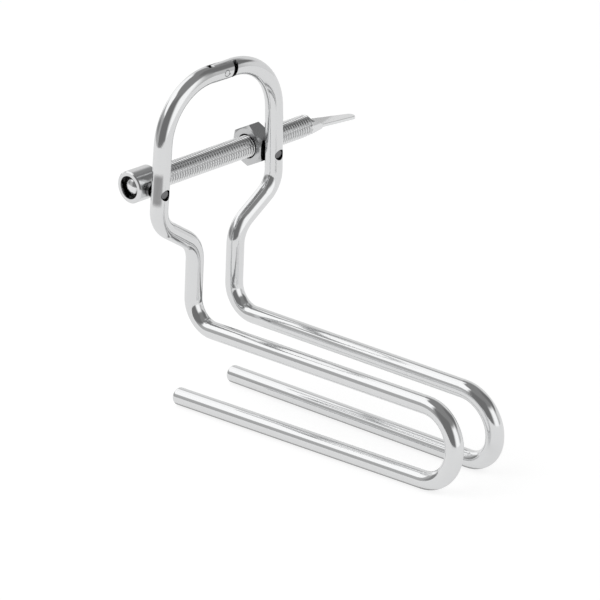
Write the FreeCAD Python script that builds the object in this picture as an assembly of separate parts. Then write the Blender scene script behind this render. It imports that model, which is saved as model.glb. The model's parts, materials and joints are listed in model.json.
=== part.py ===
import FreeCAD, Part
import math
import os

# A two-arm wire anal speculum. Each arm is one polished rod, bent from the hinge over half the
# arch, down the side, in to the neck, forward as the upper blade rod, round the nose and back
# as the lower blade rod. The left arm ends in a fork at the hinge, the right arm in a tongue.
# A screw runs behind the arms: it turns in a barrel that swivels on the left arm, and draws a
# hex nut that swivels on the right arm.
# Frame: +X along the blades, +Y towards the right arm, +Z up. The part stands on its lower
# rods at Z = 0, and the hinge pin is straight above the origin.
# Sizes are in millimetres and degrees.

Vec = FreeCAD.Vector
ORIGIN = Vec(0, 0, 0)
X_AXIS = Vec(1, 0, 0)
Y_AXIS = Vec(0, 1, 0)
Z_AXIS = Vec(0, 0, 1)

# Arms: places of the rod's centre line, before the arms are opened
ROD_DIAMETER = 8.0
ARCH_HALF_WIDTH = 32.7
ARCH_BEND = 26.8
SIDE_SPLAY = 1.9
SHOULDER_DROP = 62.5
SHOULDER_BEND = 12.4
NECK_HALF_WIDTH = 11.4
NECK_DROP = 77.6
NECK_BEND = 13.7
KNEE_HALF_WIDTH = 11.0
KNEE_DROP = 116.0
KNEE_BEND = 12.0
BLADE_LENGTH = 154.6
BLADE_TOE_IN_ANGLE = 0.4
BLADE_RISE_ANGLE = 4.6
NOSE_HEIGHT = 32.9
NOSE_BEND = 16.2
NOSE_FLARE_ANGLE = 3.7
LOWER_RISE_ANGLE = 5.4
LOWER_SPLAY_ANGLE = 1.0
LOWER_END_START = -3.7
END_ROUNDING = 1.6
HALF_OPENING_ANGLE = 0.85

# Hinge at the top of the arch
FORK_REACH = 3.9
SEAM_GAP = 2.3
SEAM_SLANT = 16.0
TONGUE_THICKNESS = 2.7
TONGUE_TIP_RADIUS = 6.5
TONGUE_SIDE_GAP = 0.1
SLOT_END_GAP = 2.0
HINGE_PIN_DIAMETER = 3.0
HINGE_PIN_RECESS = 0.12
HINGE_PIN_DOME = 0.35
HINGE_PIN_COUNTERSINK = 0.3

# Pivots of the barrel and the nut
PIVOT_DROP = 47.7
PIVOT_PIN_DIAMETER = 4.2
PIVOT_HEAD_DIAMETER = 4.8
PIVOT_HEAD_HEIGHT = 1.0
PIVOT_HEAD_RECESS = 1.2
PIVOT_HEAD_GAP = 0.1
PIVOT_COLLAR_DIAMETER = 6.4
PIVOT_COLLAR_GAP = 0.1
PIVOT_END_WALL = 0.8
RUNNING_GAP = 0.05
SEAT_GAP = 0.01

# Hex nut
NUT_ACROSS_FLATS = 17.0
NUT_HEIGHT = 8.0
NUT_CHAMFER_ANGLE = 30.0
NUT_FACE_SHARE = 0.95
NUT_BACK_GAP = 0.4
NUT_MOUTH_DIAMETER = 11.4

# Swivel barrel
BARREL_DIAMETER = 14.4
BARREL_LENGTH = 12.4
BARREL_EDGE = 0.5
BARREL_POCKET_DIAMETER = 10.4
BARREL_POCKET_DEPTH = 3.2
BARREL_SPOTFACE_DEPTH = 1.2

# Screw
SCREW_DIAMETER = 10.0
SCREW_NUT_GAP = 0.1
SCREW_END_PLAY = 0.15
JOURNAL_DIAMETER = 5.0
JOURNAL_HEAD_DIAMETER = 8.0
JOURNAL_HEAD_HEIGHT = 2.4
SCREW_EDGE = 0.6
THREAD_PAST_NUT = 29.7
PADDLE_LENGTH = 32.0
PADDLE_FLAT_LENGTH = 25.3
PADDLE_THICKNESS = 1.7
PADDLE_TOP_OFFSET = 0.2
PADDLE_SHOULDER_HEIGHT = 3.8
PADDLE_LOWER_WEDGE = 7.1
PADDLE_ROOT_WIDTH = 8.8
PADDLE_TIP_WIDTH = 4.4
PADDLE_BEND_ANGLE = 7.3

ROD_RADIUS = ROD_DIAMETER / 2
SCREW_OFFSET = ROD_RADIUS + NUT_BACK_GAP + NUT_ACROSS_FLATS / 2
REACH_THROUGH = 4 * ROD_DIAMETER


def tan_of(angle):
    return math.tan(math.radians(angle))


def arm_corners(start_y):
    """Corners of the left arm's centre line, from the hinge to the free end of the lower rod."""
    knee = Vec(0, -KNEE_HALF_WIDTH, -KNEE_DROP)
    blade_run = Vec(1, tan_of(BLADE_TOE_IN_ANGLE), tan_of(BLADE_RISE_ANGLE)) * BLADE_LENGTH
    nose_top = knee + blade_run
    flare = math.radians(NOSE_FLARE_ANGLE)
    nose_foot = nose_top - Vec(0, math.sin(flare), math.cos(flare)) * NOSE_HEIGHT
    run_back = BLADE_LENGTH - LOWER_END_START
    end_shift = Vec(-1, -tan_of(LOWER_SPLAY_ANGLE), -tan_of(LOWER_RISE_ANGLE)) * run_back
    return [
        Vec(0, start_y, 0),
        Vec(0, -ARCH_HALF_WIDTH, 0),
        Vec(0, -ARCH_HALF_WIDTH - SIDE_SPLAY, -SHOULDER_DROP),
        Vec(0, -NECK_HALF_WIDTH, -NECK_DROP),
        knee,
        nose_top,
        nose_foot,
        nose_foot + end_shift,
    ]


def arm_bends():
    return [ARCH_BEND, SHOULDER_BEND, NECK_BEND, KNEE_BEND, NOSE_BEND, NOSE_BEND]


def bend_arc(before, corner, after, radius):
    """Start, middle and end of the arc that rounds a corner of the centre line."""
    back = (before - corner).normalize()
    ahead = (after - corner).normalize()
    half_angle = back.getAngle(ahead) / 2
    run = radius / math.tan(half_angle)
    inward = (back + ahead).normalize()
    centre = corner + inward * (radius / math.sin(half_angle))
    return corner + back * run, centre - inward * radius, corner + ahead * run


def bent_rod(corners, bends, radius):
    """A round rod along straight runs joined by tangent arcs."""
    edges = []
    last = corners[0]
    for number, bend in enumerate(bends):
        start, middle, end = bend_arc(*corners[number:number + 3], bend)
        edges.append(Part.LineSegment(last, start).toShape())
        edges.append(Part.Arc(start, middle, end).toShape())
        last = end
    edges.append(Part.LineSegment(last, corners[-1]).toShape())
    section = Part.Circle(corners[0], corners[1] - corners[0], radius).toShape()
    return Part.Wire(edges).makePipeShell([Part.Wire(section)], True, True)


def round_free_end(rod, end):
    """Round the edge of the rod's cut end."""
    rims = [edge for edge in rod.Edges if (edge.BoundBox.Center - end).Length < END_ROUNDING]
    return rod.makeFillet(END_ROUNDING, rims).Solids[0]


def arm_blank(start_y):
    """The left arm's bent rod, with its free end rounded."""
    corners = arm_corners(start_y)
    rod = bent_rod(corners, arm_bends(), ROD_RADIUS)
    return round_free_end(rod, corners[-1])


def pivot_place():
    """Centre of the left arm's pivot bore, on the rod's straight side."""
    return Vec(0, -ARCH_HALF_WIDTH - SIDE_SPLAY * PIVOT_DROP / SHOULDER_DROP, -PIVOT_DROP)


def mirrored(shape):
    return shape.mirror(ORIGIN, Y_AXIS)


def opened(shape, side):
    """Swing an arm about the hinge pin to the opening at rest: side is -1 for left, 1 for right."""
    turned = shape.copy()
    turned.rotate(ORIGIN, X_AXIS, side * HALF_OPENING_ANGLE)
    return turned


def rest_pivot(side):
    """Pivot centre once the arms are opened to rest."""
    turn = FreeCAD.Rotation(X_AXIS, side * HALF_OPENING_ANGLE)
    place = pivot_place()
    return turn.multVec(Vec(0, -side * place.y, place.z))


def lathe(profile, place, axis):
    """Turn a profile of (distance along the axis, radius) points into a solid."""
    points = [Vec(radius, 0, along) for along, radius in profile]
    points = [Vec(0, 0, profile[0][0])] + points + [Vec(0, 0, profile[-1][0])]
    face = Part.Face(Part.makePolygon(points + [points[0]]))
    solid = face.revolve(ORIGIN, Z_AXIS, 360)
    solid.Placement = FreeCAD.Placement(place, FreeCAD.Rotation(Z_AXIS, axis))
    return solid


def hinge_bore(radius):
    """Cutter for the hinge pin's hole along X, with a fine countersink at both mouths."""
    mouth = ROD_RADIUS + HINGE_PIN_COUNTERSINK
    wide = radius + 2 * HINGE_PIN_COUNTERSINK
    neck = ROD_RADIUS - HINGE_PIN_COUNTERSINK
    return lathe([(-mouth, wide), (-neck, radius), (neck, radius), (mouth, wide)], ORIGIN, X_AXIS)


def pivot_bore():
    """Cutter for a pivot pin's running hole along X, counterbored for the head in front."""
    radius = PIVOT_PIN_DIAMETER / 2 + RUNNING_GAP
    pocket = PIVOT_HEAD_DIAMETER / 2 + PIVOT_HEAD_GAP
    floor = ROD_RADIUS - PIVOT_HEAD_RECESS - PIVOT_HEAD_HEIGHT - PIVOT_HEAD_GAP
    profile = [(-ROD_DIAMETER, radius), (floor, radius), (floor, pocket), (ROD_DIAMETER, pocket)]
    return lathe(profile, pivot_place(), X_AXIS)


def fork_end_cutter():
    """Cutter that ends the fork's tines on the slanted seam."""
    size = (4 * ROD_DIAMETER, REACH_THROUGH, 4 * ROD_DIAMETER)
    block = Part.makeBox(*size, Vec(-2 * ROD_DIAMETER, FORK_REACH, -2 * ROD_DIAMETER))
    block.rotate(Vec(0, FORK_REACH, 0), X_AXIS, -SEAM_SLANT)
    return block


def left_arm():
    rod = arm_blank(FORK_REACH + ROD_DIAMETER).cut(fork_end_cutter())
    slot_width = TONGUE_THICKNESS + 2 * TONGUE_SIDE_GAP
    slot_end = TONGUE_TIP_RADIUS + SLOT_END_GAP
    corner = Vec(-slot_width / 2, -slot_end, -ROD_DIAMETER)
    slot = Part.makeBox(slot_width, slot_end + ROD_DIAMETER, 2 * ROD_DIAMETER, corner)
    rod = rod.cut(slot)
    rod = rod.cut(hinge_bore(HINGE_PIN_DIAMETER / 2 + SEAT_GAP))
    return opened(rod.cut(pivot_bore()), -1)


def tongue_cheeks():
    """Cutters that thin the right arm to a tongue, up to the slanted shoulder of the seam."""
    shoulder = FORK_REACH + SEAM_GAP
    half = TONGUE_THICKNESS / 2
    size = (ROD_DIAMETER, REACH_THROUGH, 4 * ROD_DIAMETER)
    cheeks = []
    for side in (half, -half - ROD_DIAMETER):
        cheek = Part.makeBox(*size, Vec(side, -shoulder, -2 * ROD_DIAMETER))
        cheek.rotate(Vec(0, -shoulder, 0), X_AXIS, SEAM_SLANT)
        cheeks.append(cheek)
    return cheeks


def tongue_tip_cutter():
    """Cutter that rounds the tongue's end about the hinge pin."""
    corner = Vec(-ROD_DIAMETER, 0, -ROD_DIAMETER)
    block = Part.makeBox(2 * ROD_DIAMETER, REACH_THROUGH, 2 * ROD_DIAMETER, corner)
    start = Vec(-ROD_DIAMETER, 0, 0)
    return block.cut(Part.makeCylinder(TONGUE_TIP_RADIUS, 2 * ROD_DIAMETER, start, X_AXIS))


def right_arm():
    rod = arm_blank(TONGUE_TIP_RADIUS)
    for cutter in tongue_cheeks() + [tongue_tip_cutter()]:
        rod = rod.cut(cutter)
    hole_radius = HINGE_PIN_DIAMETER / 2 + RUNNING_GAP
    rod = rod.cut(Part.makeCylinder(hole_radius, ROD_DIAMETER, Vec(-ROD_RADIUS, 0, 0), X_AXIS))
    return opened(mirrored(rod.cut(pivot_bore())), 1)


def hinge_pin():
    """Pin peened flush in the fork, with slightly domed ends."""
    radius = HINGE_PIN_DIAMETER / 2
    end = ROD_RADIUS - HINGE_PIN_RECESS
    side = end - HINGE_PIN_DOME
    face = radius - HINGE_PIN_DOME
    return lathe([(-end, face), (-side, radius), (side, radius), (end, face)], ORIGIN, X_AXIS)


def pivot_pin(place, carrier_face, seat_depth, bore_wall):
    """Pin with a domed head in the arm and a collar on the carrier behind it, pressed into it.

    carrier_face is the carrier's nearest face behind the arm's centre, seat_depth the depth of
    its spotface, and bore_wall the place of the inner wall that the pin stops short of.
    """
    radius = PIVOT_PIN_DIAMETER / 2
    head = PIVOT_HEAD_DIAMETER / 2
    front = ROD_RADIUS - PIVOT_HEAD_RECESS
    under_head = front - PIVOT_HEAD_HEIGHT
    collar = PIVOT_COLLAR_DIAMETER / 2
    collar_front = -ROD_RADIUS - PIVOT_COLLAR_GAP
    collar_back = carrier_face - seat_depth
    profile = [
        (bore_wall + PIVOT_END_WALL + SEAT_GAP, radius),
        (collar_back + SEAT_GAP, radius),
        (collar_back + SEAT_GAP, collar),
        (collar_front, collar),
        (collar_front, radius),
        (under_head, radius),
        (under_head, head),
        (front - PIVOT_HEAD_HEIGHT / 2, head),
        (front, head - PIVOT_HEAD_HEIGHT / 2),
    ]
    return lathe(profile, place, X_AXIS)


def pin_socket(place, carrier_face, seat_depth, bore_wall):
    """Cutter in the barrel or the nut for its pivot pin and the collar's spotface."""
    radius = PIVOT_PIN_DIAMETER / 2 + SEAT_GAP
    collar = PIVOT_COLLAR_DIAMETER / 2 + SEAT_GAP
    seat = carrier_face - seat_depth
    profile = [(bore_wall + PIVOT_END_WALL, radius), (seat, radius), (seat, collar), (0, collar)]
    return lathe(profile, place, X_AXIS)


def barrel_seat():
    """What the barrel's pin seats on: front face, spotface depth and journal bore wall."""
    face = -SCREW_OFFSET + BARREL_DIAMETER / 2
    wall = -SCREW_OFFSET + JOURNAL_DIAMETER / 2 + RUNNING_GAP
    return face, BARREL_SPOTFACE_DEPTH, wall


def nut_seat():
    """What the nut's pin seats on: front flat, no spotface, and bore wall."""
    face = -SCREW_OFFSET + NUT_ACROSS_FLATS / 2
    wall = -SCREW_OFFSET + SCREW_DIAMETER / 2 + SCREW_NUT_GAP
    return face, 0, wall


def swivel_barrel():
    pivot = rest_pivot(-1)
    half = BARREL_LENGTH / 2
    radius = BARREL_DIAMETER / 2
    bore = JOURNAL_DIAMETER / 2 + RUNNING_GAP
    pocket = BARREL_POCKET_DIAMETER / 2
    place = Vec(-SCREW_OFFSET, pivot.y, pivot.z)
    edge = BARREL_EDGE
    rim = radius - edge
    body = lathe([(-half, rim), (edge - half, radius), (half - edge, radius), (half, rim)], place, Y_AXIS)
    floor = BARREL_POCKET_DEPTH - half
    steps = [(-BARREL_LENGTH, pocket), (floor, pocket), (floor, bore), (BARREL_LENGTH, bore)]
    hollow = lathe(steps, place, Y_AXIS)
    return body.cut(hollow).cut(pin_socket(pivot, *barrel_seat()))


def hex_nut():
    pivot = rest_pivot(1)
    half = NUT_HEIGHT / 2
    across_corners = NUT_ACROSS_FLATS / math.cos(math.pi / 6)
    place = Vec(-SCREW_OFFSET, pivot.y, pivot.z)
    turns = [math.radians(30 + 60 * number) for number in range(7)]
    ring = [Vec(math.cos(turn), 0, math.sin(turn)) * (across_corners / 2) for turn in turns]
    prism = Part.Face(Part.makePolygon(ring)).extrude(Vec(0, NUT_HEIGHT, 0))
    prism.translate(place - Vec(0, half, 0))
    face_radius = NUT_FACE_SHARE * NUT_ACROSS_FLATS / 2
    slope = (across_corners / 2 - face_radius) * tan_of(NUT_CHAMFER_ANGLE)
    rim = across_corners / 2
    chamfers = [(-half, face_radius), (slope - half, rim), (half - slope, rim), (half, face_radius)]
    turned = lathe(chamfers, place, Y_AXIS)
    bore = SCREW_DIAMETER / 2 + SCREW_NUT_GAP
    mouth = NUT_MOUTH_DIAMETER / 2
    lip = mouth - bore
    hole = lathe([(-half, mouth), (lip - half, bore), (half - lip, bore), (half, mouth)], place, Y_AXIS)
    return prism.common(turned).cut(hole).cut(pin_socket(pivot, *nut_seat()))


def paddle_plan(wedge):
    """The thumb piece seen from above, as a tall block: tapered, with a round tip."""
    root = PADDLE_ROOT_WIDTH / 2
    tip = PADDLE_TIP_WIDTH / 2
    round_start = PADDLE_LENGTH - tip
    below = -SCREW_DIAMETER
    side = [
        Vec(-tip, round_start, below),
        Vec(-root, wedge, below),
        Vec(-SCREW_DIAMETER, 0, below),
        Vec(-SCREW_DIAMETER, -SCREW_DIAMETER, below),
    ]
    other_side = [Vec(-point.x, point.y, point.z) for point in reversed(side)]
    flanks = Part.makePolygon(side + other_side)
    tip_arc = Part.Arc(other_side[-1], Vec(0, PADDLE_LENGTH, below), side[0]).toShape()
    outline = Part.Wire(flanks.Edges + [tip_arc])
    return Part.Face(outline).extrude(Vec(0, 0, 2 * SCREW_DIAMETER))


def paddle(start):
    """The thumb piece milled out of the screw's end: its length runs along +Y from start."""
    drop = PADDLE_FLAT_LENGTH * tan_of(PADDLE_BEND_ANGLE)
    wedge = PADDLE_LENGTH - PADDLE_FLAT_LENGTH
    top = PADDLE_TOP_OFFSET
    foot = top - PADDLE_THICKNESS
    side = [
        (-PADDLE_LOWER_WEDGE, -SCREW_DIAMETER),
        (-PADDLE_LOWER_WEDGE, -SCREW_DIAMETER / 2),
        (wedge, foot),
        (PADDLE_LENGTH, foot - drop),
        (PADDLE_LENGTH, -SCREW_DIAMETER),
    ]
    below = Part.Face(Part.makePolygon([Vec(-SCREW_DIAMETER, y, z) for y, z in side + side[:1]]))
    side = [
        (0, SCREW_DIAMETER),
        (0, PADDLE_SHOULDER_HEIGHT),
        (wedge, top),
        (PADDLE_LENGTH, top - drop),
        (PADDLE_LENGTH, SCREW_DIAMETER),
    ]
    above = Part.Face(Part.makePolygon([Vec(-SCREW_DIAMETER, y, z) for y, z in side + side[:1]]))
    sweep = Vec(2 * SCREW_DIAMETER, 0, 0)
    cutters = [below.extrude(sweep), above.extrude(sweep)]
    stock = Part.makeCylinder(SCREW_DIAMETER / 2, PADDLE_LENGTH + PADDLE_LOWER_WEDGE,
                              Vec(0, -PADDLE_LOWER_WEDGE, 0), Y_AXIS)
    blade = stock.common(paddle_plan(wedge)).cut(cutters[0]).cut(cutters[1])
    blade.translate(start)
    return blade


def screw():
    left = rest_pivot(-1)
    right = rest_pivot(1)
    radius = SCREW_DIAMETER / 2
    journal = JOURNAL_DIAMETER / 2
    head = JOURNAL_HEAD_DIAMETER / 2
    inner_face = left.y + BARREL_LENGTH / 2
    shoulder = inner_face + SCREW_END_PLAY
    pocket_floor = left.y - BARREL_LENGTH / 2 + BARREL_POCKET_DEPTH
    head_foot = pocket_floor - SCREW_END_PLAY
    thread_end = right.y + NUT_HEIGHT / 2 + THREAD_PAST_NUT
    blank_end = thread_end - PADDLE_LOWER_WEDGE
    dome = [math.radians(75 - 15 * step) for step in range(6)]
    cap = [(head_foot - JOURNAL_HEAD_HEIGHT * math.sin(turn), head * math.cos(turn)) for turn in dome]
    profile = cap + [
        (head_foot, journal),
        (shoulder, journal),
        (shoulder, radius - SCREW_EDGE),
        (shoulder + SCREW_EDGE, radius),
        (blank_end, radius),
    ]
    shaft = lathe(profile, Vec(-SCREW_OFFSET, 0, left.z), Y_AXIS)
    end = paddle(Vec(-SCREW_OFFSET, thread_end, left.z))
    return shaft.fuse(end).removeSplitter()


def lower_rod_at_rest():
    """Ends of the left lower rod's centre line once the arms are opened to rest."""
    opening = FreeCAD.Rotation(X_AXIS, -HALF_OPENING_ANGLE)
    return [opening.multVec(point) for point in arm_corners(FORK_REACH)[-2:]]


def standing(shape):
    """Lean the handle so that the lower rods lie level, and set them on the floor."""
    nose_foot, free_end = lower_rod_at_rest()
    run = nose_foot - free_end
    lean = math.degrees(math.atan2(run.z, run.x))
    level = FreeCAD.Rotation(Y_AXIS, lean).multVec(free_end).z
    placed = shape.copy()
    placed.rotate(ORIGIN, Y_AXIS, lean)
    placed.translate(Vec(0, 0, ROD_RADIUS - level))
    return placed


def main():
    nodes = {
        "left_arm": left_arm(),
        "right_arm": right_arm(),
        "hinge_pin": hinge_pin(),
        "swivel_barrel": swivel_barrel(),
        "barrel_pin": pivot_pin(rest_pivot(-1), *barrel_seat()),
        "screw": screw(),
        "hex_nut": hex_nut(),
        "nut_pin": pivot_pin(rest_pivot(1), *nut_seat()),
    }
    os.makedirs("parts", exist_ok=True)
    for name, shape in nodes.items():
        placed = standing(shape)
        box = placed.optimalBoundingBox(False, False)
        placed.exportStep("parts/" + name + ".step")
        print(name, placed.isValid(), len(placed.Solids), round(placed.Volume, 1),
              [round(value, 2) for value in (box.XMin, box.YMin, box.ZMin, box.XMax, box.YMax, box.ZMax)])


main()
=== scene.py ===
import json
import math

import bmesh
import bpy
from mathutils import Matrix, Vector


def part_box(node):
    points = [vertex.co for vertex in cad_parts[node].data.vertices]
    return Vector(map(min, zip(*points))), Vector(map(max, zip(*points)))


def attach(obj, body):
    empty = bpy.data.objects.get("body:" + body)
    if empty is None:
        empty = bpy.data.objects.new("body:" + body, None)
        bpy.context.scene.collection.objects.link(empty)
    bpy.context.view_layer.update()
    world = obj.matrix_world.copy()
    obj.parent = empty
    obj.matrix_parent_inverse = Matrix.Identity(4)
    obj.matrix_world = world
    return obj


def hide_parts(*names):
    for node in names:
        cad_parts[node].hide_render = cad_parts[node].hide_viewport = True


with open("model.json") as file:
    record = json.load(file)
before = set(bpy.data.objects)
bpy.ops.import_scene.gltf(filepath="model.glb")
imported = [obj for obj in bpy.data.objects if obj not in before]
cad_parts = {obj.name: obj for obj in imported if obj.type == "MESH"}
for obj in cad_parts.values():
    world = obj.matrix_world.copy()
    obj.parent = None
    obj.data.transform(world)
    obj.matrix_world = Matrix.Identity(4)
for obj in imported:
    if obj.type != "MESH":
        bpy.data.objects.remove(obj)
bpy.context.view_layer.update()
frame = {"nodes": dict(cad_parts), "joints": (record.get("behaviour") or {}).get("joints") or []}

# Lengths are in metres. X runs along the blades, Y from the left arm to the right arm, Z up.
MM = 0.001

# The photograph's camera
CAMERA_TARGET = Vector((0.0433, 0.0, 0.0595))
CAMERA_AZIMUTH = 44.43
CAMERA_ELEVATION = 21.15
CAMERA_ROLL = -1.65
CAMERA_DISTANCE = 1.5026
CAMERA_LENS = 209.4
CAMERA_SENSOR = 36
CAMERA_NEAR = 0.05
CAMERA_FAR = 50

# Screw, as in the CAD
SCREW_RADIUS = 5.0 * MM
SCREW_END_PLAY = 0.15 * MM
JOURNAL_RADIUS = 2.5 * MM
HEAD_RADIUS = 4.0 * MM
HEAD_HEIGHT = 2.4 * MM
BARREL_POCKET_DEPTH = 3.2 * MM
PADDLE_LENGTH = 32.0 * MM
PADDLE_FLAT_LENGTH = 25.3 * MM
PADDLE_THICKNESS = 1.7 * MM
PADDLE_TOP_OFFSET = 0.2 * MM
PADDLE_SHOULDER_HEIGHT = 3.8 * MM
PADDLE_LOWER_WEDGE = 7.1 * MM
PADDLE_ROOT_WIDTH = 8.8 * MM
PADDLE_TIP_WIDTH = 4.4 * MM
PADDLE_BEND_ANGLE = 7.3

# Broken edges of the thumb piece, which are sharp in the CAD
PADDLE_EDGE = 0.4 * MM
PADDLE_EDGE_STEPS = 4
PADDLE_EDGE_ANGLE = 40

# Thread, M10 x 1.5
THREAD_PITCH = 1.5 * MM
THREAD_DEPTH = 0.87 * MM
THREAD_CREST_SHARE = 0.16
THREAD_ROOT_SHARE = 0.22
THREAD_TURN_STEPS = 64
THREAD_PITCH_STEPS = 12
THREAD_LEAD_IN = 0.9 * MM
THREAD_RUN_OUT = 1.0 * MM
DOME_STEPS = 8
TIP_STEPS = 12
SCREW_CREASE_ANGLE = 30

# Painted shade in recesses, from ambient occlusion: how far it looks for walls, and the open share at
# which the painted shade is full and gone
RECESS_REACH = 3.5 * MM
RECESS_DARK = 0.35
RECESS_CLEAR = 0.75
RECESS_SHADE = 0.03
RECESS_SAMPLES = 8

# Steels: the colour of what they mirror, and roughness
ROD_COLOR = (0.80, 0.805, 0.81)
ROD_ROUGHNESS = 0.11
TURNED_COLOR = (0.78, 0.785, 0.79)
PEENED_ROUGHNESS = 0.20
BARREL_ROUGHNESS = 0.15
NUT_COLOR = (0.62, 0.625, 0.63)
NUT_ROUGHNESS = 0.20
SCREW_COLOR = (0.86, 0.865, 0.87)
SCREW_ROUGHNESS = 0.14
# Painted shade in the screw's recesses, lighter than on the other steels
SCREW_RECESS_SHADE = 0.42
# The pins' dark colour is painted shade: they sit sunk in the arms' holes and in the gap by the barrel
PIN_PAINTED_SHADE_COLOR = (0.20, 0.20, 0.205)
PIN_ROUGHNESS = 0.25

# Finish: marks per metre, the share by which they change the roughness, and their depth
POLISH_GRAIN = 2500
POLISH_SPREAD = 0.3
POLISH_DEPTH = 0.0004 * MM
PEENED_DEPTH = 0.004 * MM
TURNING_RINGS = 5000
TURNING_SPREAD = 0.35
TURNING_DEPTH = 0.002 * MM
MARKS_DETAIL = 3.0

# Painted reflection of the barrel, a darker and rougher patch on the left arm's outer side, beside the
# barrel's pivot
PATCH_RISE = 2.4 * MM
PATCH_HALF_LENGTH = 6.9 * MM
PATCH_SOFT_LENGTH = 3.0 * MM
PATCH_FACING = -63
PATCH_HALF_TURN = 30.5
PATCH_SOFT_TURN = 14
PATCH_ROUGHNESS = 0.38
PAINTED_REFLECTION_COLOR = (0.45, 0.45, 0.455)

# Floor: what the camera and the polished steel see of it besides its lit colour
FLOOR_SEEN = 0.85
FLOOR_MIRRORED = 0.68
FLOOR_CENTRE = (-0.30, 0.36, 0)
FLOOR_RADIUS = 0.95
FLOOR_COLOR = (0.22, 0.22, 0.22)
FLOOR_ROUGHNESS = 0.9

# Key light
KEY_PLACE = (-0.2, -0.9, 1.2)
KEY_TARGET = (0.04, 0, 0.06)
KEY_SIZE = (1.2, 1.2)
KEY_POWER = 8

# Studio: each panel is (name, azimuth, half width, low, high, softness, brightness), in degrees
# round the part, azimuth from +X towards +Y, later ones over earlier ones
STUDIO_BASE = 0.26
STUDIO_PANELS = [
    ("backdrop", 105, 65, -40, 38, 16, 0.76),
    ("side wall", -150, 42, -12, 30, 8, 0.46),
    ("side wall foot", -160, 24, 0, 14, 6, 0.27),
    ("softbox", -158, 50, 27, 62, 6, 1.18),
    ("softbox edge", 170, 14, 2, 55, 8, 1.12),
    ("dark room", -68, 40, -16, 52, 10, 0.185),
    ("bright panel", 2, 27, -30, 37, 13, 1.12),
    ("dark stand", 62, 24, 20, 66, 10, 0.18),
    ("floor", 0, 200, -100, -17, 6, 0.85),
]


def joint_axis(name):
    """A joint's point and direction, in the row frame."""
    found = [joint for joint in frame["joints"] if joint["name"] == name][0]
    return Vector(found["pos_m"]), Vector(found["axis"]).normalized()


def new_material(name):
    """A new material with its node tree and its shader."""
    material = bpy.data.materials.new(name)
    material.use_nodes = True
    tree = material.node_tree
    return material, tree, tree.nodes["Principled BSDF"]


def link_input(links, socket, value):
    """Feed a socket from another socket or with a plain value."""
    if isinstance(value, bpy.types.NodeSocket):
        links.new(value, socket)
    else:
        socket.default_value = value


def calculate(tree, operation, *values):
    node = tree.nodes.new("ShaderNodeMath")
    node.operation = operation
    for socket, value in zip(node.inputs, values):
        link_input(tree.links, socket, value)
    return node.outputs[0]


def mix_color(tree, mask, under, over):
    """The colour under a mask's zero and over its one."""
    mix = tree.nodes.new("ShaderNodeMix")
    mix.data_type = "RGBA"
    link_input(tree.links, mix.inputs["A"], under)
    link_input(tree.links, mix.inputs["B"], over)
    tree.links.new(mask, mix.inputs["Factor"])
    return mix.outputs["Result"]


def paint_recess_shade(tree, shader, color, painted_shade):
    """Steel whose colour goes over to a painted shade inside holes and narrow gaps, where ambient
    occlusion finds walls near.
    """
    shade = tree.nodes.new("ShaderNodeAmbientOcclusion")
    shade.samples = RECESS_SAMPLES
    shade.inputs["Distance"].default_value = RECESS_REACH
    open_share = tree.nodes.new("ShaderNodeMapRange")
    open_share.interpolation_type = "SMOOTHSTEP"
    open_share.inputs["From Min"].default_value = RECESS_DARK
    open_share.inputs["From Max"].default_value = RECESS_CLEAR
    tree.links.new(shade.outputs["AO"], open_share.inputs["Value"])
    mixed = mix_color(tree, open_share.outputs["Result"], (painted_shade, painted_shade, painted_shade, 1), (*color, 1))
    tree.links.new(mixed, shader.inputs["Base Color"])


def marks(tree, shader, vector, roughness, spread, depth):
    """Fine marks in the finish: the roughness varies by a share, the surface by a depth."""
    noise = tree.nodes.new("ShaderNodeTexNoise")
    noise.inputs["Scale"].default_value = 1.0
    noise.inputs["Detail"].default_value = MARKS_DETAIL
    tree.links.new(vector, noise.inputs["Vector"])
    change = tree.nodes.new("ShaderNodeMapRange")
    change.inputs["To Min"].default_value = roughness * (1 - spread)
    change.inputs["To Max"].default_value = roughness * (1 + spread)
    tree.links.new(noise.outputs["Fac"], change.inputs["Value"])
    tree.links.new(change.outputs["Result"], shader.inputs["Roughness"])
    relief = tree.nodes.new("ShaderNodeBump")
    relief.inputs["Distance"].default_value = depth
    tree.links.new(noise.outputs["Fac"], relief.inputs["Height"])
    tree.links.new(relief.outputs["Normal"], shader.inputs["Normal"])


def scaled_place(tree, scale):
    """Where a point is on the part, stretched by a scale in marks per metre."""
    place = tree.nodes.new("ShaderNodeTexCoord")
    mapping = tree.nodes.new("ShaderNodeMapping")
    mapping.inputs["Scale"].default_value = (scale, scale, scale)
    tree.links.new(place.outputs["Object"], mapping.inputs["Vector"])
    return mapping.outputs["Vector"]


def turned_place(tree, axis_point, rings):
    """Distance from a lathe axis along Y and place along it, so that marks run round the axis."""
    place = tree.nodes.new("ShaderNodeTexCoord").outputs["Object"]
    shift = tree.nodes.new("ShaderNodeVectorMath")
    shift.operation = "SUBTRACT"
    shift.inputs[1].default_value = axis_point
    tree.links.new(place, shift.inputs[0])
    split = tree.nodes.new("ShaderNodeSeparateXYZ")
    tree.links.new(shift.outputs["Vector"], split.inputs["Vector"])
    x_squared = calculate(tree, "MULTIPLY", split.outputs["X"], split.outputs["X"])
    squares = calculate(tree, "MULTIPLY_ADD", split.outputs["Z"], split.outputs["Z"], x_squared)
    radius = calculate(tree, "MULTIPLY", calculate(tree, "SQRT", squares), rings)
    along = calculate(tree, "MULTIPLY", split.outputs["Y"], rings)
    join = tree.nodes.new("ShaderNodeCombineXYZ")
    tree.links.new(radius, join.inputs["X"])
    tree.links.new(along, join.inputs["Y"])
    return join.outputs["Vector"]


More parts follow.
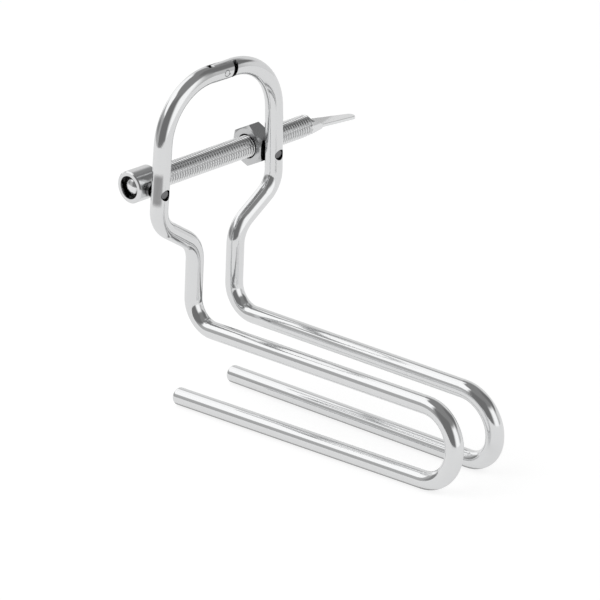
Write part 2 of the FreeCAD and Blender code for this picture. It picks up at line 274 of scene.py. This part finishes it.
def steel(name, color, roughness, depth=POLISH_DEPTH):
    """Polished stainless steel with a fine even polishing grain, and painted shade in its recesses."""
    material, tree, shader = new_material(name)
    shader.inputs["Metallic"].default_value = 1.0
    paint_recess_shade(tree, shader, color, RECESS_SHADE)
    marks(tree, shader, scaled_place(tree, POLISH_GRAIN), roughness, POLISH_SPREAD, depth)
    return material


def turned_steel(name, color, roughness, painted_shade=RECESS_SHADE):
    """Stainless steel turned about the screw's axis, with the tool's fine rings in it, and painted shade
    in its recesses.
    """
    material, tree, shader = new_material(name)
    shader.inputs["Metallic"].default_value = 1.0
    paint_recess_shade(tree, shader, color, painted_shade)
    axis_point, _ = joint_axis("screw_turn")
    rings = turned_place(tree, axis_point, TURNING_RINGS)
    marks(tree, shader, rings, roughness, TURNING_SPREAD, TURNING_DEPTH)
    return material


def painted_reflection_mask(tree):
    """Where the left arm carries the painted reflection of the barrel, by height along the arm and by the
    side it faces.
    """
    pivot, across = joint_axis("barrel_swivel")
    along = across.cross(Vector((0, 1, 0)))
    middle = along.dot(pivot) + PATCH_RISE
    facing = math.radians(PATCH_FACING)
    place = tree.nodes.new("ShaderNodeTexCoord")
    height = dot(tree, place.outputs["Object"], along)
    ends = (middle - PATCH_HALF_LENGTH, middle + PATCH_HALF_LENGTH)
    stretch = between(tree, height, *ends, PATCH_SOFT_LENGTH)
    ahead = dot(tree, place.outputs["Normal"], (math.cos(facing), math.sin(facing), 0))
    turn = calculate(tree, "DEGREES", calculate(tree, "ARCCOSINE", ahead))
    outside = soft_step(tree, turn, PATCH_HALF_TURN, PATCH_SOFT_TURN)
    return calculate(tree, "MULTIPLY", stretch, calculate(tree, "SUBTRACT", 1.0, outside))


def add_painted_reflection(material):
    """Turn polished steel rougher and darker inside the patch, as a painted reflection of the barrel."""
    tree = material.node_tree
    shader = tree.nodes["Principled BSDF"]
    mask = painted_reflection_mask(tree)
    roughness = shader.inputs["Roughness"]
    polished = roughness.links[0].from_socket
    tree.links.new(blend_value(tree, mask, polished, PATCH_ROUGHNESS), roughness)
    color = shader.inputs["Base Color"]
    mixed = mix_color(tree, mask, color.links[0].from_socket, (*PAINTED_REFLECTION_COLOR, 1))
    tree.links.new(mixed, color)


def assign(obj, material):
    obj.data.materials.clear()
    obj.data.materials.append(material)


def smooth(obj, angle):
    """Smooth shading, with edges sharper than the angle kept crisp."""
    mesh = obj.data
    for polygon in mesh.polygons:
        polygon.use_smooth = True
    mesh.set_sharp_from_angle(angle=math.radians(angle))


def new_mesh(name, bm):
    mesh = bpy.data.meshes.new(name)
    bm.to_mesh(mesh)
    bm.free()
    obj = bpy.data.objects.new(name, mesh)
    bpy.context.scene.collection.objects.link(obj)
    return obj


def thread_profile(share):
    """Depth below the crest at a share of the pitch, for flat crests and roots and straight flanks."""
    flank = (1 - THREAD_CREST_SHARE - THREAD_ROOT_SHARE) / 2
    distance = abs((share % 1.0) - 0.5)
    run = distance - THREAD_CREST_SHARE / 2
    return THREAD_DEPTH * min(max(run / flank, 0.0), 1.0)


def thread_radius(y, turn_share, start, end):
    """The thread's radius at a place, cut down at its start and run out at its end."""
    depth = thread_profile(y / THREAD_PITCH - turn_share)
    depth *= min(max((end - y) / THREAD_RUN_OUT, 0.0), 1.0)
    lead_in = THREAD_DEPTH * (1 - (y - start) / THREAD_LEAD_IN)
    return SCREW_RADIUS - max(depth, lead_in)


def screw_rings(head_foot, shoulder, thread_end, tip):
    """The screw's rings from its domed head to its tip, each a place and a radius per column."""
    columns = range(THREAD_TURN_STEPS)
    rings = []
    for step in range(1, DOME_STEPS + 1):
        turn = math.pi / 2 * (1 - step / DOME_STEPS)
        place = head_foot - HEAD_HEIGHT * math.sin(turn)
        rings.append((place, [HEAD_RADIUS * math.cos(turn)] * len(columns)))
    rings.append((head_foot, [JOURNAL_RADIUS] * len(columns)))
    rings.append((shoulder, [JOURNAL_RADIUS] * len(columns)))
    step = THREAD_PITCH / THREAD_PITCH_STEPS
    for row in range(int((thread_end - shoulder) / step) + 2):
        y = shoulder + step * row
        shares = [column / THREAD_TURN_STEPS for column in columns]
        rings.append((y, [thread_radius(y, share, shoulder, thread_end) for share in shares]))
    rings.append((tip + HEAD_HEIGHT, [SCREW_RADIUS] * len(columns)))
    return rings


def turned_mesh(rings):
    """Close a stack of rings round Y into a solid mesh."""
    bm = bmesh.new()
    loops = []
    for y, radii in rings:
        turns = [2 * math.pi * column / len(radii) for column in range(len(radii))]
        pairs = zip(radii, turns)
        points = [(radius * math.sin(turn), y, radius * math.cos(turn)) for radius, turn in pairs]
        loops.append([bm.verts.new(point) for point in points])
    for low, high in zip(loops, loops[1:]):
        for column in range(len(low)):
            after = (column + 1) % len(low)
            bm.faces.new((low[column], low[after], high[after], high[column]))
    for loop in (loops[0], loops[-1]):
        bm.faces.new(loop)
    bmesh.ops.recalc_face_normals(bm, faces=bm.faces)
    return bm


def prism(name, outline, sweep):
    """A closed prism from a flat outline, swept to both sides by half the sweep."""
    bm = bmesh.new()
    half = Vector(sweep) / 2
    ends = [[bm.verts.new(Vector(point) + shift) for point in outline] for shift in (-half, half)]
    for end in ends:
        bm.faces.new(end)
    for number in range(len(outline)):
        after = (number + 1) % len(outline)
        bm.faces.new((ends[0][number], ends[0][after], ends[1][after], ends[1][number]))
    bmesh.ops.recalc_face_normals(bm, faces=bm.faces)
    return new_mesh(name, bm)


def apply_modifiers(obj):
    """Replace an object's mesh with the result of its modifiers."""
    graph = bpy.context.evaluated_depsgraph_get()
    mesh = bpy.data.meshes.new_from_object(obj.evaluated_get(graph))
    obj.modifiers.clear()
    obj.data = mesh


def common_part(obj, cutter):
    """Keep what an object shares with the cutter, and remove the cutter."""
    cut = obj.modifiers.new("common", "BOOLEAN")
    cut.operation = "INTERSECT"
    cut.solver = "EXACT"
    cut.object = cutter
    apply_modifiers(obj)
    bpy.data.objects.remove(cutter)


def paddle_envelope(back, wedge_start, tip):
    """What is left of the stock: round behind, then a wedge on both sides and the flat thumb piece."""
    wide = 2 * SCREW_RADIUS
    flat_start = tip - PADDLE_FLAT_LENGTH
    drop = PADDLE_FLAT_LENGTH * math.tan(math.radians(PADDLE_BEND_ANGLE))
    top = PADDLE_TOP_OFFSET
    foot = top - PADDLE_THICKNESS
    lower_start = wedge_start - PADDLE_LOWER_WEDGE
    run = (flat_start - lower_start) * (wide - SCREW_RADIUS) / (SCREW_RADIUS + foot)
    side = [
        (back, wide), (wedge_start, wide), (wedge_start, PADDLE_SHOULDER_HEIGHT),
        (flat_start, top), (tip, top - drop), (tip, foot - drop),
        (flat_start, foot), (lower_start - run, -wide), (back, -wide),
    ]
    envelope = prism("envelope", [(0, y, z) for y, z in side], (2 * wide, 0, 0))
    round_radius = PADDLE_TIP_WIDTH / 2
    edge = [(wide, back), (wide, wedge_start), (PADDLE_ROOT_WIDTH / 2, flat_start)]
    for step in range(TIP_STEPS + 1):
        turn = math.pi / 2 * step / TIP_STEPS
        edge.append((round_radius * math.cos(turn), tip - round_radius + round_radius * math.sin(turn)))
    outline = edge + [(-x, y) for x, y in reversed(edge[:-1])]
    common_part(envelope, prism("plan", [(x, y, 0) for x, y in outline], (0, 0, 4 * wide)))
    bevel = envelope.modifiers.new("edges", "BEVEL")
    bevel.width = PADDLE_EDGE
    bevel.segments = PADDLE_EDGE_STEPS
    bevel.limit_method = "ANGLE"
    bevel.angle_limit = math.radians(PADDLE_EDGE_ANGLE)
    apply_modifiers(envelope)
    return envelope


def threaded_screw():
    """The screw with its thread, standing for the plain one of the CAD."""
    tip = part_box("screw")[1][1]
    barrel_low, barrel_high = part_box("swivel_barrel")
    head_foot = barrel_low[1] + BARREL_POCKET_DEPTH - SCREW_END_PLAY
    shoulder = barrel_high[1] + SCREW_END_PLAY
    wedge_start = tip - PADDLE_LENGTH
    bm = turned_mesh(screw_rings(head_foot, shoulder, wedge_start, tip))
    screw = new_mesh("threaded_screw", bm)
    common_part(screw, paddle_envelope(head_foot - SCREW_RADIUS, wedge_start, tip))
    place, _ = joint_axis("screw_turn")
    _, across = joint_axis("arm_hinge")
    upright = across.cross(Vector((0, 1, 0)))
    turn = Matrix((across, Vector((0, 1, 0)), upright)).transposed().to_4x4()
    screw.data.transform(Matrix.Translation((place.x, 0, place.z)) @ turn)
    smooth(screw, SCREW_CREASE_ANGLE)
    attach(screw, "thumb_screw")
    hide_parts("screw")
    return screw


def aim_camera():
    """The photograph's view of the part."""
    azimuth, elevation = math.radians(CAMERA_AZIMUTH), math.radians(CAMERA_ELEVATION)
    roll = math.radians(CAMERA_ROLL)
    back = Vector((math.sin(azimuth) * math.cos(elevation), -math.cos(azimuth) * math.cos(elevation),
                   math.sin(elevation)))
    level = Vector((math.cos(azimuth), math.sin(azimuth), 0))
    rise = back.cross(level)
    right = level * math.cos(roll) + rise * math.sin(roll)
    up = back.cross(right)
    camera = bpy.data.objects.new("photo_camera", bpy.data.cameras.new("photo_camera"))
    bpy.context.scene.collection.objects.link(camera)
    camera.data.lens = CAMERA_LENS
    camera.data.sensor_width = CAMERA_SENSOR
    camera.data.clip_start = CAMERA_NEAR
    camera.data.clip_end = CAMERA_FAR
    turn = Matrix((right, up, back)).transposed().to_4x4()
    camera.matrix_world = Matrix.Translation(CAMERA_TARGET + back * CAMERA_DISTANCE) @ turn
    bpy.context.scene.camera = camera


def dot(tree, vector, direction):
    node = tree.nodes.new("ShaderNodeVectorMath")
    node.operation = "DOT_PRODUCT"
    tree.links.new(vector, node.inputs[0])
    node.inputs[1].default_value = direction
    return node.outputs["Value"]


def soft_step(tree, value, middle, softness):
    """From 0 to 1 as the value passes the middle."""
    node = tree.nodes.new("ShaderNodeMapRange")
    node.interpolation_type = "SMOOTHSTEP"
    tree.links.new(value, node.inputs["Value"])
    node.inputs["From Min"].default_value = middle - softness / 2
    node.inputs["From Max"].default_value = middle + softness / 2
    return node.outputs["Result"]


def between(tree, value, low, high, softness):
    rise = soft_step(tree, value, low, softness)
    fall = soft_step(tree, value, high, softness)
    return calculate(tree, "SUBTRACT", rise, fall)


def panel_mask(tree, direction, elevation, azimuth, half_width, low, high, softness):
    """Where a direction looks at a soft-edged studio panel."""
    middle = math.radians(azimuth)
    ahead = dot(tree, direction, (math.cos(middle), math.sin(middle), 0))
    aside = dot(tree, direction, (-math.sin(middle), math.cos(middle), 0))
    turn = calculate(tree, "DEGREES", calculate(tree, "ARCTAN2", aside, ahead))
    across = between(tree, turn, -half_width, half_width, 2 * softness)
    up = between(tree, elevation, low, high, softness)
    return calculate(tree, "MULTIPLY", across, up)


def blend_value(tree, mask, under, over):
    """The value under a mask's zero and over its one."""
    change = calculate(tree, "SUBTRACT", over, under)
    return calculate(tree, "MULTIPLY_ADD", mask, change, under)


def studio_world():
    """Soft studio round the part, which its polished steel mirrors."""
    world = bpy.data.worlds.new("studio")
    bpy.context.scene.world = world
    world.use_nodes = True
    tree = world.node_tree
    tree.nodes.clear()
    direction = tree.nodes.new("ShaderNodeTexCoord").outputs["Generated"]
    elevation = calculate(tree, "DEGREES", calculate(tree, "ARCSINE", dot(tree, direction, (0, 0, 1))))
    level = STUDIO_BASE
    for _, azimuth, half_width, low, high, softness, brightness in STUDIO_PANELS:
        mask = panel_mask(tree, direction, elevation, azimuth, half_width, low, high, softness)
        level = blend_value(tree, mask, level, brightness)
    path = tree.nodes.new("ShaderNodeLightPath")
    shader = tree.nodes.new("ShaderNodeBackground")
    shader.inputs["Color"].default_value = (1, 1, 1, 1)
    tree.links.new(blend_value(tree, path.outputs["Is Camera Ray"], level, 1.0), shader.inputs["Strength"])
    out = tree.nodes.new("ShaderNodeOutputWorld")
    tree.links.new(shader.outputs["Background"], out.inputs["Surface"])


def pale_floor():
    """Plain floor, which the camera and the polished steel see as pale."""
    bpy.ops.mesh.primitive_circle_add(
        vertices=96, radius=FLOOR_RADIUS, fill_type="NGON", location=FLOOR_CENTRE)
    floor = bpy.context.object
    floor.name = "pale_floor"
    material, tree, shader = new_material("pale_floor")
    shader.inputs["Base Color"].default_value = (*FLOOR_COLOR, 1)
    shader.inputs["Roughness"].default_value = FLOOR_ROUGHNESS
    shader.inputs["Emission Color"].default_value = (1, 1, 1, 1)
    path = tree.nodes.new("ShaderNodeLightPath")
    seen = calculate(tree, "MULTIPLY", path.outputs["Is Camera Ray"], FLOOR_SEEN)
    mirrored = calculate(tree, "MULTIPLY", path.outputs["Is Glossy Ray"], FLOOR_MIRRORED)
    tree.links.new(calculate(tree, "ADD", seen, mirrored), shader.inputs["Emission Strength"])
    assign(floor, material)


def soft_light(name, location, target, size, power):
    """Area light that the polished steel doesn't mirror."""
    light = bpy.data.lights.new(name, "AREA")
    light.shape = "RECTANGLE"
    light.size, light.size_y = size
    light.energy = power
    obj = bpy.data.objects.new(name, light)
    bpy.context.scene.collection.objects.link(obj)
    obj.location = location
    obj.rotation_euler = (Vector(target) - Vector(location)).to_track_quat("-Z", "Y").to_euler()
    obj.visible_glossy = False


POLISHED = steel("polished_rod", ROD_COLOR, ROD_ROUGHNESS)
ROD_WITH_PAINTED_REFLECTION = steel("rod_with_painted_reflection", ROD_COLOR, ROD_ROUGHNESS)
add_painted_reflection(ROD_WITH_PAINTED_REFLECTION)
PEENED = steel("peened_pin", TURNED_COLOR, PEENED_ROUGHNESS, PEENED_DEPTH)
PIN_IN_PAINTED_SHADE = steel("pin_steel", PIN_PAINTED_SHADE_COLOR, PIN_ROUGHNESS, PEENED_DEPTH)
BARREL = turned_steel("turned_steel", TURNED_COLOR, BARREL_ROUGHNESS)
NUT = turned_steel("nut_steel", NUT_COLOR, NUT_ROUGHNESS)
SCREW = turned_steel("screw_steel", SCREW_COLOR, SCREW_ROUGHNESS, SCREW_RECESS_SHADE)

# The left arm carries a painted reflection of the barrel
assign(frame["nodes"]["left_arm"], ROD_WITH_PAINTED_REFLECTION)
assign(frame["nodes"]["right_arm"], POLISHED)
assign(frame["nodes"]["hinge_pin"], PEENED)
# Pins painted dark as shade in their holes
for node in ("barrel_pin", "nut_pin"):
    assign(frame["nodes"][node], PIN_IN_PAINTED_SHADE)
assign(frame["nodes"]["swivel_barrel"], BARREL)
assign(frame["nodes"]["hex_nut"], NUT)
assign(threaded_screw(), SCREW)

studio_world()
pale_floor()
soft_light("key", KEY_PLACE, KEY_TARGET, KEY_SIZE, KEY_POWER)

aim_camera()
scene = bpy.context.scene
scene.view_settings.view_transform = "Standard"
